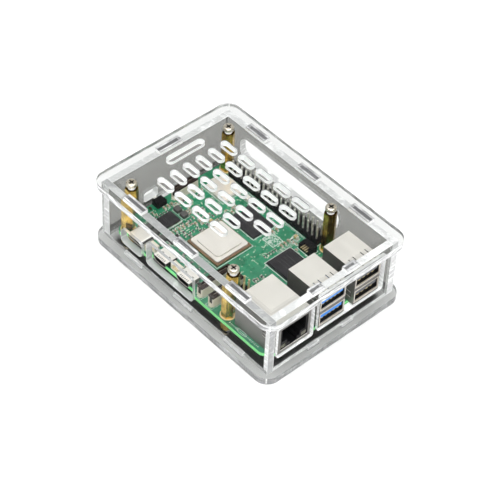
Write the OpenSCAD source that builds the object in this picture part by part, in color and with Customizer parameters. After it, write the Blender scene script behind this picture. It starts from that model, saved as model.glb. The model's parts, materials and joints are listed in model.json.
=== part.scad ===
// A credit-card sized single board computer in its clear six-panel screw-together case.
// Millimetres, +Z up. The origin is the middle of the case, on the plane that the lower
// screw heads rest on. +X points to the network and USB sockets, +Y to the 40-pin header.

/* [Circuit board] */
// Length of the board, from the memory card end to the socket end
board_l = 85; // [84:0.5:86]
// Width of the board
board_w = 56; // [55.5:0.5:57]
// Thickness of the board
board_t = 1.6; // [1.2:0.1:2]
// Corner radius of the board
board_r = 3; // [2:0.5:3.5]
// Distance from a mounting hole to the two nearest edges
hole_inset = 3.5; // [3.5:0.1:4]
// Hole spacing along the board
hole_pitch_x = 58; // [57:0.5:59]
// Hole spacing across the board
hole_pitch_y = 49; // [48:0.5:49]
// Diameter of the board's mounting holes
board_hole_d = 2.7; // [2.6:0.05:3]

/* [Case] */
// Length of the top and bottom plates
plate_l = 101; // [100:0.5:104]
// Width of the top and bottom plates
plate_w = 70.8; // [70.5:0.1:73]
// Corner radius of the top and bottom plates
plate_r = 5.8; // [4:0.2:7]
// Thickness of the clear sheet
sheet_t = 3; // [2.5:0.1:3.2]
// How far the plates stand out past the side panels
plate_overhang = 3; // [2.8:0.1:3.2]
// Clearance round each tab in its slot
tab_gap = 0.1; // [0.05:0.05:0.2]
// Diameter of the screw holes in the plates
plate_hole_d = 2.9; // [2.7:0.1:3.2]

/* [Top plate vents] */
// Length of a vent slot
vent_l = 8.2; // [6:0.2:9]
// Width of a vent slot
vent_w = 3.2; // [2:0.2:4]
// Spacing of the vents along the case
vent_pitch_x = 10.12; // [9.5:0.1:10.5]
// Spacing of the vents across the case
vent_pitch_y = 6.4; // [5.5:0.1:6.5]

/* [Spacers and screws] */
// Height of the upper spacers, between the board and the top plate
upper_h = 19.5; // [19:0.5:22]
// Height of the lower spacers, between the bottom plate and the board
lower_h = 5; // [4.5:0.5:6]
// Distance across the flats of a spacer
spacer_af = 4.6; // [4.4:0.1:5]
// Diameter of the screws and studs
screw_d = 2.44; // [2.3:0.02:2.5]
// Diameter of a screw head
head_d = 4.4; // [4:0.1:4.8]
// Height of a screw head
head_h = 1.5; // [1.2:0.1:1.8]

/* [Moving parts] */
// How far the power button travels
button_travel = 0.3; // [0.2:0.05:0.5]
// How far a ribbon cable latch lifts
latch_travel = 1.2; // [0.8:0.1:1.4]

/* [Hidden] */
$fn = 48;

// Levels, from the table upwards
plate_z = head_h;
panel_z = plate_z + sheet_t;
board_z = panel_z + lower_h;
top_z = board_z + board_t;
roof_z = top_z + upper_h;
case_h = roof_z + sheet_t;
panel_h = roof_z - panel_z;

// The side panels, measured at the outside faces
shell_l = plate_l - 2 * plate_overhang;
shell_w = plate_w - 2 * plate_overhang;
inner_l = shell_l - 2 * sheet_t;
inner_w = shell_w - 2 * sheet_t;

// The board's corner nearest the power socket, inside the case
card_gap = 3.35;
port_gap = 0.3;
board_x0 = -inner_l / 2 + card_gap;
board_y0 = -inner_w / 2 + port_gap;

// Tabs: middles along the panel, and widths
long_tabs = [-29, 0, 29];
long_tab_w = 10.4;
card_tabs = [0];
card_tab_w = 11;
socket_tabs = [-8.8, 8.8];
socket_tab_w = 5.6;

// Connector places on the board, measured from its corner
socket_front = board_l + 3;
usb_c_x = 11.2;
hdmi_xs = [25.8, 39.2];
serial_x = 32.5;
battery_xy = [18.4, 2.9];
fan_xy = [57.2, 46.2];
camera_xs = [47.8, 54.1];
header_x = 32.5;
header_y = 52.5;
poe_xy = [58.8, 11.8];
ethernet_y = 10.2;
usb3_y = 29.1;
usb2_y = 47;
button_y = 18.6;
card_y = 28;
expansion_xy = [3.1, 30.6];
pin_pitch = 2.54;
pin_w = 0.64;
metal_t = 0.3;

// Colours
clear_colour = [0.92, 0.95, 0.96, 0.35];
brass_colour = [0.80, 0.62, 0.26];
steel_colour = [0.82, 0.80, 0.76];
pcb_colour = [0.10, 0.48, 0.30];
chip_colour = [0.14, 0.14, 0.15];
black_colour = [0.06, 0.06, 0.07];
cream_colour = [0.90, 0.87, 0.78];
gold_colour = [0.85, 0.68, 0.28];
brown_colour = [0.20, 0.13, 0.11];

// ---------------------------------------------------------------- helpers

// Puts the children on the board's top face, x and y from its corner
module on_board(x, y, z = 0) {
    translate([board_x0 + x, board_y0 + y, top_z + z]) children();
}

// A flat outline with round corners, centred
module round_rect(l, w, r) {
    square([l - 2 * r, w], center = true);
    square([l, w - 2 * r], center = true);
    for (x = [-1, 1], y = [-1, 1])
        translate([x * (l / 2 - r), y * (w / 2 - r)]) circle(r = r);
}

// A slot with round ends, centred, with its long axis along X
module slot_2d(l, w) {
    square([l - w, w], center = true);
    for (x = [-1, 1]) translate([x * (l - w) / 2, 0]) circle(d = w);
}

// A box standing on z = 0, centred in x and y
module block(l, w, h) {
    translate([-l / 2, -w / 2, 0]) cube([l, w, h]);
}

// Repeats the children at the four mounting holes
module at_holes() {
    for (x = [0, hole_pitch_x], y = [0, hole_pitch_y])
        translate([board_x0 + hole_inset + x, board_y0 + hole_inset + y, 0]) children();
}

// A straight row of equal small boxes, n pieces, pitch apart along Y
module chip_row(n, pitch, l, w, h) {
    for (i = [0 : n - 1]) translate([0, (i - (n - 1) / 2) * pitch, 0]) block(l, w, h);
}

// ---------------------------------------------------------------- case

// Slots in a plate for every panel's tabs
module tab_slots_2d() {
    slot_t = sheet_t + 2 * tab_gap;
    for (x = long_tabs, s = [-1, 1])
        translate([x, s * (shell_w - sheet_t) / 2])
            square([long_tab_w + 2 * tab_gap, slot_t], center = true);
    for (y = card_tabs)
        translate([-(shell_l - sheet_t) / 2, y])
            square([slot_t, card_tab_w + 2 * tab_gap], center = true);
    for (y = socket_tabs)
        translate([(shell_l - sheet_t) / 2, y])
            square([slot_t, socket_tab_w + 2 * tab_gap], center = true);
}

// The outline that both plates share
module plate_2d() {
    difference() {
        round_rect(plate_l, plate_w, plate_r);
        tab_slots_2d();
    }
}

// Vent slots: six rows, the last column two short at the power side
module vents_2d() {
    for (col = [0 : 4], row = [0 : 5])
        if (col < 4 || row < 4)
            translate([(col - 2) * vent_pitch_x - 9.75, 0.8 + (2.5 - row) * vent_pitch_y])
                slot_2d(vent_l, vent_w);
}

module top_plate() {
    ribbon_slot_l = 18.5;
    ribbon_slot_w = 3.6;
    color(clear_colour) difference() {
        translate([0, 0, roof_z]) linear_extrude(sheet_t) difference() {
            plate_2d();
            vents_2d();
            translate([-39.35, 2.7]) rotate(90) slot_2d(ribbon_slot_l, ribbon_slot_w);
        }
        at_holes() translate([0, 0, roof_z - 1]) cylinder(d = plate_hole_d, h = sheet_t + 2);
    }
}

module bottom_plate() {
    color(clear_colour) difference() {
        translate([0, 0, plate_z]) linear_extrude(sheet_t) plate_2d();
        at_holes() translate([0, 0, plate_z - 1]) cylinder(d = plate_hole_d, h = sheet_t + 2);
    }
}

// A panel's outline with tabs top and bottom; its middle is at x = 0, its foot at y = 0
module panel_2d(l, tabs, tab_w) {
    translate([-l / 2, 0]) square([l, panel_h]);
    for (x = tabs) translate([x - tab_w / 2, -sheet_t]) square([tab_w, panel_h + 2 * sheet_t]);
}

// A rounded window, given by its edges: x on the board, z above the board's top face
module window_2d(x0, x1, z0, z1, r) {
    translate([board_x0 + (x0 + x1) / 2, top_z - panel_z + (z0 + z1) / 2])
        round_rect(x1 - x0, z1 - z0, r);
}

// The same, for a panel across the case: y on the board
module end_window_2d(y0, y1, z0, z1, r) {
    translate([board_y0 + (y0 + y1) / 2, top_z - panel_z + (z0 + z1) / 2])
        round_rect(y1 - y0, z1 - z0, r);
}

// Stands a long panel's outline on its edge, with its outer face at y
module stand_long(y) {
    translate([0, y + sheet_t, panel_z]) rotate([90, 0, 0]) linear_extrude(sheet_t) children();
}

// Stands an end panel's outline on its edge, with its lower X face at x
module stand_end(x) {
    translate([x, 0, panel_z]) rotate([90, 0, 90]) linear_extrude(sheet_t) children();
}

module port_side_panel() {
    color(clear_colour) stand_long(-shell_w / 2) difference() {
        panel_2d(shell_l, long_tabs, long_tab_w);
        window_2d(5, 17.5, -2.3, 5.2, 2.2);
        window_2d(20.2, 47.1, -2.4, 9.5, 1.8);
    }
}

module header_side_panel() {
    color(clear_colour) stand_long(shell_w / 2 - sheet_t) difference() {
        panel_2d(shell_l, long_tabs, long_tab_w);
        window_2d(4.2, 60.4, 4, 14.6, 4.2);
    }
}

module card_side_panel() {
    button_opening_w = 7;
    card_opening_w = 12.6;
    color(clear_colour) stand_end(-shell_l / 2) difference() {
        panel_2d(inner_w, card_tabs, card_tab_w);
        end_window_2d(button_y - button_opening_w / 2, button_y + button_opening_w / 2, -1.1, 3.9, 1.2);
        end_window_2d(card_y - card_opening_w / 2, card_y + card_opening_w / 2, -6.3, -1.7, 0.8);
    }
}

module socket_side_panel() {
    color(clear_colour) stand_end(shell_l / 2 - sheet_t) difference() {
        panel_2d(inner_w, socket_tabs, socket_tab_w);
        end_window_2d(1.4, 19.3, -0.9, 14.4, 0.8);
        end_window_2d(21.6, 55.4, -0.7, 16.7, 0.8);
    }
}

// ---------------------------------------------------------------- fasteners

// A pan head screw with a cross recess, pointing down, its head's underside at z = 0
module pan_screw(shank) {
    edge_r = 0.7;
    recess_l = 2.5;
    recess_w = 0.6;
    recess_depth = 0.95;
    difference() {
        union() {
            translate([0, 0, -shank]) cylinder(d = screw_d, h = shank + 0.2);
            cylinder(d = head_d, h = head_h - edge_r);
            cylinder(d = head_d - 2 * edge_r, h = head_h);
            translate([0, 0, head_h - edge_r]) rotate_extrude() translate([head_d / 2 - edge_r, 0])
                intersection() {
                    circle(r = edge_r);
                    square(edge_r);
                }
        }
        for (a = [0, 90]) rotate(a) translate([-recess_l / 2, -recess_w / 2, head_h - recess_depth])
            cube([recess_l, recess_w, 2]);
        translate([0, 0, head_h - recess_depth]) cylinder(d = 1.1, h = 2);
    }
}

module top_screws() {
    reach = 6;
    color(steel_colour) at_holes() translate([0, 0, case_h]) pan_screw(reach);
}

module bottom_screws() {
    reach = 5;
    color(steel_colour) at_holes() translate([0, 0, plate_z]) rotate([180, 0, 0]) pan_screw(reach);
}

// A hexagonal spacer of height h with a threaded bore of the given depths at its ends
module spacer(h, top_depth, bottom_depth) {
    bore_d = 2.5;
    difference() {
        cylinder(d = spacer_af / cos(30), h = h, $fn = 6);
        translate([0, 0, h - top_depth]) cylinder(d = bore_d, h = top_depth + 1);
        if (bottom_depth > 0) translate([0, 0, -1]) cylinder(d = bore_d, h = bottom_depth + 1);
    }
}

module upper_spacers() {
    bore_depth = 8;
    stud_l = board_t + 2.3;
    color(brass_colour) at_holes() translate([0, 0, top_z]) {
        spacer(upper_h, bore_depth, 0);
        translate([0, 0, -stud_l]) cylinder(d = screw_d, h = stud_l + 0.2);
    }
}

module lower_spacers() {
    color(brass_colour) at_holes() translate([0, 0, panel_z]) spacer(lower_h, lower_h / 2, lower_h / 2 + 1);
}

// ---------------------------------------------------------------- board and chips

module circuit_board() {
    pin_hole_d = 1;
    color(pcb_colour) difference() {
        translate([board_x0 + board_l / 2, board_y0 + board_w / 2, board_z])
            linear_extrude(board_t) round_rect(board_l, board_w, board_r);
        at_holes() translate([0, 0, board_z - 1]) cylinder(d = board_hole_d, h = board_t + 2);
        for (i = [0 : 19], j = [0, 1])
            on_board(header_x + (i - 9.5) * pin_pitch, header_y + (j - 0.5) * pin_pitch, -board_t - 1)
                cylinder(d = pin_hole_d, h = board_t + 2, $fn = 24);
        for (i = [0, 1], j = [0, 1])
            on_board(poe_xy[0] + (i - 0.5) * pin_pitch, poe_xy[1] + (j - 0.5) * pin_pitch, -board_t - 1)
                cylinder(d = pin_hole_d, h = board_t + 2, $fn = 24);
    }
}

module processor_substrate() {
    color([0.42, 0.30, 0.20]) on_board(33.2, 22.2) block(17.4, 17.4, 0.9);
}

module processor_lid() {
    color(steel_colour) on_board(33.2, 22.2, 0.9) {
        linear_extrude(0.7) round_rect(16, 16, 1);
        translate([0, 0, 0.7]) linear_extrude(0.7) round_rect(13, 13, 1.6);
    }
}

module memory_chip() {
    color(chip_colour) on_board(32.6, 39.2) block(14.4, 10.6, 1);
}

module io_chip() {
    color(chip_colour) on_board(58.6, 35.3) {
        block(12.6, 12.6, 0.5);
        translate([0, 0, 0.5]) block(12, 12, 0.6);
    }
}

module power_chip() {
    color(chip_colour) on_board(11.1, 15.3) block(6.2, 7.4, 0.9);
}

module wireless_shield() {
    color(steel_colour) on_board(11.2, 43.6) {
        linear_extrude(1.1) round_rect(12.4, 11, 1.8);
        translate([0, 0, 1.1]) linear_extrude(0.4) round_rect(11.6, 10.2, 1.6);
    }
}

// ---------------------------------------------------------------- pin headers

// A header's plastic base, cols by rows, with a waist between neighbouring pins
module header_base(cols, rows) {
    base_h = 2.5;
    notch = 0.5;
    difference() {
        block(cols * pin_pitch, rows * pin_pitch, base_h);
        for (i = [1 : cols - 1], s = [-1, 1])
            translate([(i - cols / 2) * pin_pitch, s * rows * pin_pitch / 2, -1])
                rotate(45) cube([notch, notch, 2 * base_h + 2], center = true);
        for (i = [0 : cols - 1], j = [0 : rows - 1])
            translate([(i - (cols - 1) / 2) * pin_pitch, (j - (rows - 1) / 2) * pin_pitch, -1])
                block(pin_w, pin_w, base_h + 2);
    }
}

// A header's pins, through the base and the board
module header_pins(cols, rows) {
    tail = board_t + 1;
    pin_top = 8.5;
    for (i = [0 : cols - 1], j = [0 : rows - 1])
        translate([(i - (cols - 1) / 2) * pin_pitch, (j - (rows - 1) / 2) * pin_pitch, -tail])
            block(pin_w, pin_w, tail + pin_top);
}

module pin_header_base() { color(black_colour) on_board(header_x, header_y) header_base(20, 2); }
module pin_header_pins() { color(gold_colour) on_board(header_x, header_y) header_pins(20, 2); }
module poe_header_base() { color(black_colour) on_board(poe_xy[0], poe_xy[1]) header_base(2, 2); }
module poe_header_pins() { color(gold_colour) on_board(poe_xy[0], poe_xy[1]) header_pins(2, 2); }

// ---------------------------------------------------------------- network socket

eth_l = 21.3;
eth_w = 16;
eth_h = 13.5;
eth_x = socket_front - eth_l / 2;
jack_w = 11.8;
jack_z0 = 4.9;
jack_h = 6.9;
jack_depth = 14.5;
eth_frame = 1.15;

// The opening for a network plug, seen from the front: body, shoulder and latch steps
module jack_2d(grow = 0) {
    translate([-jack_w / 2 - grow, jack_z0 - grow]) square([jack_w + 2 * grow, jack_h + 2 * grow]);
    translate([-3.1 - grow, jack_z0 - 2 - grow]) square([6.2 + 2 * grow, 2.2 + grow]);
    translate([-1.7 - grow, jack_z0 - 3.3 - grow]) square([3.4 + 2 * grow, 1.5 + grow]);
}

// Turns a front view into a cut that starts depth behind the socket's face
module from_front(l, depth) {
    translate([l / 2 - depth, 0, 0]) rotate([90, 0, 90]) linear_extrude(depth + 1) children();
}

// The part of the housing's face that shows inside the shell's folded front edges
module face_2d() {
    translate([-eth_w / 2 + eth_frame, eth_frame]) square([eth_w - 2 * eth_frame, eth_h - 2 * eth_frame]);
}

// The windows for the two lamps, beside the latch steps
module lamp_2d(grow = 0) {
    for (s = [-1, 1]) translate([s * 5.1, 2.6]) square([2.6 + 2 * grow, 1.9 + 2 * grow], center = true);
}

module ethernet_shell() {
    color(steel_colour) on_board(eth_x, ethernet_y) difference() {
        block(eth_l, eth_w, eth_h);
        translate([0, 0, -1]) block(eth_l - 2 * metal_t, eth_w - 2 * metal_t, eth_h - metal_t + 1);
        from_front(eth_l, 2) face_2d();
        for (s = [-1, 1], x = [4.4, 7.2])
            translate([x, s * eth_w / 2, 8]) block(0.35, 2, 4);
        for (s = [-1, 1]) translate([5.8, s * eth_w / 2, 8]) block(3.1, 2, 0.35);
    }
}

module ethernet_housing() {
    slack = 0.05;
    color(black_colour) on_board(eth_x, ethernet_y) difference() {
        block(eth_l - 2 * metal_t - 2 * slack, eth_w - 2 * metal_t - 2 * slack, eth_h - metal_t - slack);
        from_front(eth_l, jack_depth) jack_2d();
        from_front(eth_l, 5) lamp_2d();
    }
}

// Eight sprung wires that slope down into the mouth
module ethernet_contacts() {
    wire = 0.4;
    color(gold_colour) on_board(socket_front - jack_depth, ethernet_y)
        for (i = [0 : 7]) translate([0, (i - 3.5) * 1.02 - wire / 2, jack_z0 + jack_h]) {
            translate([0, 0, -1.1]) rotate([0, 16, 0]) cube([8.6, wire, wire]);
            translate([0, 0, -1.2]) cube([wire, wire, 1.2]);
        }
}

module ethernet_lights() {
    color([0.30, 0.32, 0.18]) on_board(socket_front - 4.9, ethernet_y)
        rotate([90, 0, 90]) linear_extrude(4.5) lamp_2d(-0.08);
}

// ---------------------------------------------------------------- stacked USB sockets

usb_l = 17.5;
usb_w = 13.1;
usb_h = 16;
usb_x = socket_front - usb_l / 2;
usb_mouths = [1.4, 9.1];
usb_mouth_w = 12.2;
usb_mouth_h = 5.5;
usb_back = 6;
usb_gap = 0.1;
tongue_t = 2.1;
tongue_drop = 0.8;

// A two-storey sheet metal shell with sprung tongues cut in its top and sides
module usb_shell() {
    lip = 0.35;
    difference() {
        block(usb_l, usb_w, usb_h);
        translate([0, 0, -1]) block(usb_l - 2 * metal_t, usb_w - 2 * metal_t, usb_h - metal_t + 1);
        for (z = usb_mouths) from_front(usb_l, 2)
            translate([-usb_mouth_w / 2, z]) square([usb_mouth_w, usb_mouth_h]);
        for (y = [-3.1, 3.1], s = [-1, 1])
            translate([4.6, y + s * 1.15, usb_h - 1]) block(5.2, lip, 2);
        for (y = [-3.1, 3.1]) translate([7.1, y, usb_h - 1]) block(lip, 2.6, 2);
        for (z = usb_mouths, s = [-1, 1], v = [1.5, 4.1])
            translate([4.6, s * usb_w / 2, z + v - lip / 2]) block(5.2, 2, lip);
        for (z = usb_mouths, s = [-1, 1])
            translate([7.1, s * usb_w / 2, z + 1.5]) block(lip, 2, 2.6);
    }
    // The floor under the lower mouth, and the two shelves between the mouths
    translate([-usb_l / 2 + metal_t + usb_back + usb_gap, -usb_w / 2 + metal_t, usb_mouths[0] - 0.4])
        cube([usb_l - usb_back - 2 * metal_t - usb_gap, usb_w - 2 * metal_t, metal_t]);
    translate([usb_l / 2 - 9, -usb_w / 2 + metal_t, usb_mouths[0] + usb_mouth_h + 0.4])
        cube([9 - metal_t, usb_w - 2 * metal_t, metal_t]);
    translate([usb_l / 2 - 9, -usb_w / 2 + metal_t, usb_mouths[1] - 0.7])
        cube([9 - metal_t, usb_w - 2 * metal_t, metal_t]);
}

// The insulator: a back block that carries one tongue in each mouth
module usb_insulator(tongue_w) {
    slack = 0.05;
    tongue_end = 0.5;
    translate([-usb_l / 2 + metal_t + slack, -usb_w / 2 + metal_t + slack, 0])
        cube([usb_back, usb_w - 2 * (metal_t + slack), usb_h - metal_t - slack]);
    for (z = usb_mouths)
        translate([-usb_l / 2 + 1, -tongue_w / 2, z + usb_mouth_h - tongue_t - tongue_drop])
            cube([usb_l - 1 - tongue_end, tongue_w, tongue_t]);
}

// Contact strips under each tongue, n across, each with a sprung hump near its tip
module usb_contacts(n, pitch, w) {
    strip_t = 0.2;
    strip_z = usb_mouth_h - tongue_t - tongue_drop - strip_t;
    for (z = usb_mouths, i = [0 : n - 1])
        translate([0, (i - (n - 1) / 2) * pitch - w / 2, z + strip_z]) {
            translate([-usb_l / 2 + metal_t + usb_back + usb_gap, 0, 0])
                cube([usb_l - metal_t - usb_back - 1.6, w, strip_t]);
            translate([usb_l / 2 - 2.4, w, 0]) rotate([90, 0, 0])
                linear_extrude(w) polygon([[0, 0.1], [0.6, -0.95], [1.5, -0.95], [1.8, 0.1]]);
        }
}

module usb3_shell() { color(steel_colour) on_board(usb_x, usb3_y) usb_shell(); }
module usb3_tongues() { color([0.10, 0.35, 0.80]) on_board(usb_x, usb3_y) usb_insulator(11.1); }
module usb3_contacts() { color(gold_colour) on_board(usb_x, usb3_y) usb_contacts(5, 2, 0.8); }
module usb2_shell() { color(steel_colour) on_board(usb_x, usb2_y) usb_shell(); }
module usb2_tongues() { color(black_colour) on_board(usb_x, usb2_y) usb_insulator(11.1); }
module usb2_contacts() { color(gold_colour) on_board(usb_x, usb2_y) usb_contacts(4, 2.3, 1); }

// ---------------------------------------------------------------- power and video sockets

usb_c_l = 7.35;
usb_c_w = 8.94;
usb_c_h = 3.2;
usb_c_out = 1.1;

module usb_c_shell() {
    color(steel_colour) on_board(usb_c_x, usb_c_l - usb_c_out, usb_c_h / 2)
        rotate([90, 0, 0]) difference() {
            linear_extrude(usb_c_l) slot_2d(usb_c_w, usb_c_h);
            translate([0, 0, 0.6]) linear_extrude(usb_c_l) slot_2d(usb_c_w - 0.6, usb_c_h - 0.6);
        }
}

module usb_c_tongue() {
    color(chip_colour) on_board(usb_c_x, usb_c_l - usb_c_out, usb_c_h / 2) rotate([90, 0, 0]) {
        translate([0, 0, 0.65]) linear_extrude(1.6) slot_2d(usb_c_w - 0.7, usb_c_h - 0.7);
        translate([-3.35, -0.35, 2.2]) cube([6.7, 0.7, usb_c_l - 3]);
    }
}

hdmi_l = 7.8;
hdmi_out = 1.4;

// The D-shaped front of a small video socket, 7.1 wide; z = 0 is the board
module hdmi_2d(inset = 0) {
    half = 3.55 - inset;
    polygon([[-half, 3 - inset], [half, 3 - inset], [half, 1.5], [half - 0.9, 0.1 + inset],
        [-half + 0.9, 0.1 + inset], [-half, 1.5]]);
}

module micro_hdmi_shells() {
    color(steel_colour) for (x = hdmi_xs) on_board(x, hdmi_l - hdmi_out) {
        rotate([90, 0, 0]) difference() {
            linear_extrude(hdmi_l) hdmi_2d();
            translate([0, 0, 0.6]) linear_extrude(hdmi_l) hdmi_2d(0.28);
            for (s = [-1, 1]) translate([s * 1.9, 3.2, 3.6]) cube([0.9, 0.8, 2.6], center = true);
        }
        for (s = [-1, 1], y = [-5.4, -1.4]) translate([s * 3.3, y, 0]) block(0.9, 1.2, 1.1);
    }
}

module micro_hdmi_tongues() {
    color(chip_colour) for (x = hdmi_xs) on_board(x, hdmi_l - hdmi_out) rotate([90, 0, 0]) {
        translate([0, 0, 0.62]) linear_extrude(2) hdmi_2d(0.32);
        translate([-2.3, 1.25, 2.6]) cube([4.6, 0.7, 4.2]);
    }
}

// ---------------------------------------------------------------- small wire sockets

// A side-entry wire socket, n pins at 1 mm, mouth towards -Y
module wire_socket(n) {
    body_l = n + 2;
    body_w = 4.2;
    body_h = 2.9;
    difference() {
        block(body_l, body_w, body_h);
        translate([0, -1.4, 0.7]) block(n + 0.6, 3.2, 1.7);
        translate([0, -1.7, 2]) block(n - 0.8, 2.2, 2);
    }
}

// The socket's pins: a straight pin in the mouth and a foot on the board
module wire_pins(n) {
    for (i = [0 : n - 1]) translate([i - (n - 1) / 2, 0, 0]) {
        translate([-0.15, -2.4, 1.3]) cube([0.3, 2.55, 0.3]);
        translate([-0.15, 2.1, 0]) cube([0.3, 0.7, 0.3]);
    }
}

module serial_socket() { color(cream_colour) on_board(serial_x, 2.7) wire_socket(3); }
module battery_socket() { color(cream_colour) on_board(battery_xy[0], battery_xy[1]) wire_socket(2); }
module fan_socket() { color(black_colour) on_board(fan_xy[0], fan_xy[1]) wire_socket(4); }

module socket_pins() {
    color(gold_colour) {
        on_board(serial_x, 2.7) wire_pins(3);
        on_board(battery_xy[0], battery_xy[1]) wire_pins(2);
        on_board(fan_xy[0], fan_xy[1]) wire_pins(4);
    }
}

// ---------------------------------------------------------------- ribbon cable sockets

camera_y = 8.1;
ribbon_l = 13.4;
ribbon_w = 2.9;
ribbon_h = 4;
ribbon_slot_t = 0.9;
ribbon_slot_x = -0.35;
ribbon_wall = 1.3;
latch_h = 1.1;
ear_w = 1.5;

// Where the pockets for the latch's ears end, and where the ears do: they reach far enough
// down to stay held when the latch is lifted
pocket_z = 0.6;
ear_z = ribbon_h - latch_travel - 1.4;

// The body of an upright ribbon socket, long axis along Y, with its mouth on top
module ribbon_body(l) {
    difference() {
        block(ribbon_w, l, ribbon_h);
        translate([ribbon_slot_x, 0, 1]) block(ribbon_slot_t, l - 2 * ribbon_wall, ribbon_h);
        for (s = [-1, 1]) translate([0, s * l / 2, pocket_z]) block(ear_w, 1.6, ribbon_h);
    }
    for (s = [-1, 1]) translate([0.2, s * (l / 2 + 0.35), 0]) block(1.7, 0.7, 0.5);
}

// The latch bar, which lifts to let the ribbon in; two side ears run down in the body
module ribbon_latch(l) {
    gap = 0.08;
    ear_t = 0.6;
    difference() {
        translate([0, 0, ribbon_h + gap]) block(ribbon_w - 0.3, l, latch_h);
        translate([ribbon_slot_x, 0, ribbon_h - 1])
            block(ribbon_slot_t, l - 2 * ribbon_wall, latch_h + 2);
    }
    for (s = [-1, 1]) translate([0, s * (l - ear_t) / 2, ear_z + gap])
        block(ear_w - 2 * gap, ear_t, ribbon_h - ear_z + latch_h / 2);
}

module camera_sockets() {
    color(cream_colour) for (x = camera_xs) on_board(x, camera_y) ribbon_body(ribbon_l);
}

module camera_latch_1() { color(brown_colour) on_board(camera_xs[0], camera_y) ribbon_latch(ribbon_l); }
module camera_latch_2() { color(brown_colour) on_board(camera_xs[1], camera_y) ribbon_latch(ribbon_l); }

expansion_l = 11.4;

module expansion_socket() {
    color(cream_colour) on_board(expansion_xy[0], expansion_xy[1]) ribbon_body(expansion_l);
}

module expansion_latch() {
    color(brown_colour) on_board(expansion_xy[0], expansion_xy[1]) ribbon_latch(expansion_l);
}

// ---------------------------------------------------------------- power button and light

button_bore_d = 1.8;

// A side-pressed switch at the card end; the plunger's axis lies along X
module power_button_body() {
    color(black_colour) on_board(2, button_y) difference() {
        union() {
            block(3.6, 4.6, 2.4);
            translate([-0.2, 0, 2.4]) block(3, 3.8, 0.2);
        }
        translate([-3, 0, 1.3]) rotate([0, 90, 0]) cylinder(d = button_bore_d, h = 4);
    }
}

module power_button_plunger() {
    running_gap = 0.05;
    color(steel_colour) on_board(2, button_y, 1.3) rotate([0, 90, 0]) translate([0, 0, -3]) {
        cylinder(d = button_bore_d - 2 * running_gap, h = 3.9 - button_travel);
    }
}

module status_light() {
    color([0.85, 0.95, 0.8]) on_board(1.6, 14.2) {
        block(1.6, 0.8, 0.3);
        translate([0, 0, 0.3]) block(1, 0.8, 0.4);
    }
}

// ---------------------------------------------------------------- memory card slot

card_slot_l = 14.6;
card_slot_w = 12;
card_slot_h = 1.5;

// Under the board, mouth towards -X
module card_slot_shell() {
    color(steel_colour) on_board(card_slot_l / 2 - 0.2, card_y, -board_t - card_slot_h) difference() {
        block(card_slot_l, card_slot_w, card_slot_h);
        translate([-1, 0, 0.2]) block(card_slot_l, card_slot_w - 0.5, card_slot_h);
        translate([-card_slot_l / 2, 0, -1]) cylinder(d = 7, h = 3);
        translate([3, 3, -1]) block(3, 1.2, 2);
        translate([3, -3, -1]) block(3, 1.2, 2);
    }
}

module card_slot_base() {
    color(black_colour) on_board(card_slot_l / 2 - 0.2, card_y, -board_t - 0.45)
        translate([2, 0, 0]) block(8.4, card_slot_w - 0.7, 0.45);
}

// ---------------------------------------------------------------- small parts on the board

// Rows of small parts: [x, y, count, pitch], each row along Y
resistor_rows = [[15.7, 15.3, 6, 1.3], [6.9, 15.3, 5, 1.4], [20.2, 31.8, 3, 1.5],
    [65.9, 27, 3, 1.4], [21.6, 17, 4, 1.4], [49.4, 33.8, 5, 1.4], [66.3, 44.2, 3, 1.3]];
capacitor_rows = [[17.7, 15.6, 5, 1.9], [19.4, 24.4, 3, 2.1], [5.2, 20.4, 3, 1.9],
    [49.4, 41.6, 3, 1.9], [23.8, 37.4, 3, 1.9], [41.8, 43.2, 2, 2], [65.8, 22.4, 2, 2],
    [61.6, 17.6, 2, 2]];

module chip_resistors() {
    color(chip_colour) for (r = resistor_rows) on_board(r[0], r[1]) chip_row(r[2], r[3], 1, 0.5, 0.35);
}

module ceramic_capacitors() {
    color([0.62, 0.48, 0.34]) for (r = capacitor_rows)
        on_board(r[0], r[1]) chip_row(r[2], r[3], 1.6, 0.8, 0.8);
}

// Square moulded power inductors round the power chip, on the corners of a grid
module inductors() {
    color([0.36, 0.35, 0.35]) for (p = [[9.4, 9.3], [13.2, 9.3], [17.6, 9.2], [13, 21.8], [9.2, 21.8]])
        on_board(p[0], p[1]) {
            linear_extrude(1.4) round_rect(2.8, 2.6, 0.3);
        }
}

module crystals() {
    color(steel_colour) for (p = [[67.4, 38.4], [21.6, 47.2]])
        on_board(p[0], p[1]) {
            block(3.2, 2.5, 0.3);
            translate([0, 0, 0.3]) linear_extrude(0.5) round_rect(2.9, 2.2, 0.5);
        }
}

// Network interface, socket power switches, flash and regulators
module small_chips() {
    chips = [[61.5, 24.2, 5, 5], [20.7, 11.4, 3, 3], [66, 49.4, 3, 3], [25.4, 46.6, 2.4, 3]];
    color(chip_colour) for (c = chips)
        on_board(c[0], c[1]) block(c[2], c[3], 0.8);
}

module bulk_capacitors() {
    color([0.75, 0.66, 0.46]) for (p = [[62.6, 8.2], [22.4, 27.6], [49.8, 47], [62, 43.2]])
        on_board(p[0], p[1]) block(2, 1.25, 1.25);
}

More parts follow.
